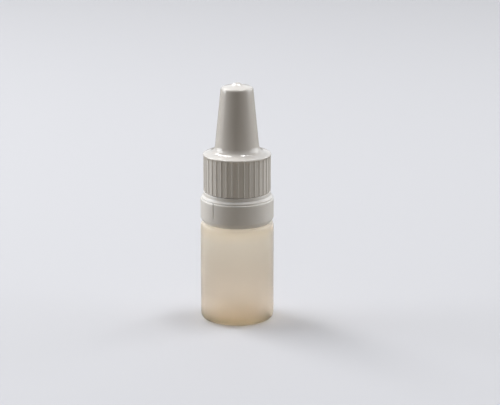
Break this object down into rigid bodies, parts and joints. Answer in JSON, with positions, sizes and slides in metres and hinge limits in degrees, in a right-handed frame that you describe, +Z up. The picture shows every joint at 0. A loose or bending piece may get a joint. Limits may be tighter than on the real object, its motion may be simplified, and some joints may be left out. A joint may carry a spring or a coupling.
{
  "type": "dropper bottle",
  "caption": "Small squeeze dropper bottle with a round translucent body, a pressed-in dropper insert, a tamper-evident band and a ribbed screw cap with a tall tapered tower.",
  "frame": {"origin": "centre of the ring under the base, on the surface that the bottle stands on", "axes": "+Z up along the bottle's axis, front towards -Y"},
  "size_m": [0.02, 0.02, 0.0658],
  "materials": {
    "natural_ldpe": "satin",
    "insert_ldpe": "satin",
    "white_band": "satin",
    "white_cap": "satin"
  },
  "bodies": {
    "bottle_body": {"bottle": "natural_ldpe", "dropper_insert": "insert_ldpe"},
    "band_body": {"tamper_band": "white_band"},
    "cap_body": {"cap": "white_cap"}
  },
  "joints": [
    {"name": "cap_turn", "type": "hinge", "parent": "bottle_body", "child": "band_body", "pos_m": [0, 0, 0.034], "axis": [0, 0, 1], "range_deg": [0, 3121]},
    {"name": "cap_lift", "type": "slide", "parent": "band_body", "child": "cap_body", "axis": [0, 0, 1], "range_m": [0, 0.026]}
  ],
  "couplings": [
    {"joint": "cap_turn", "follows": "cap_lift", "rad_per_m": 2094.4}
  ]
}
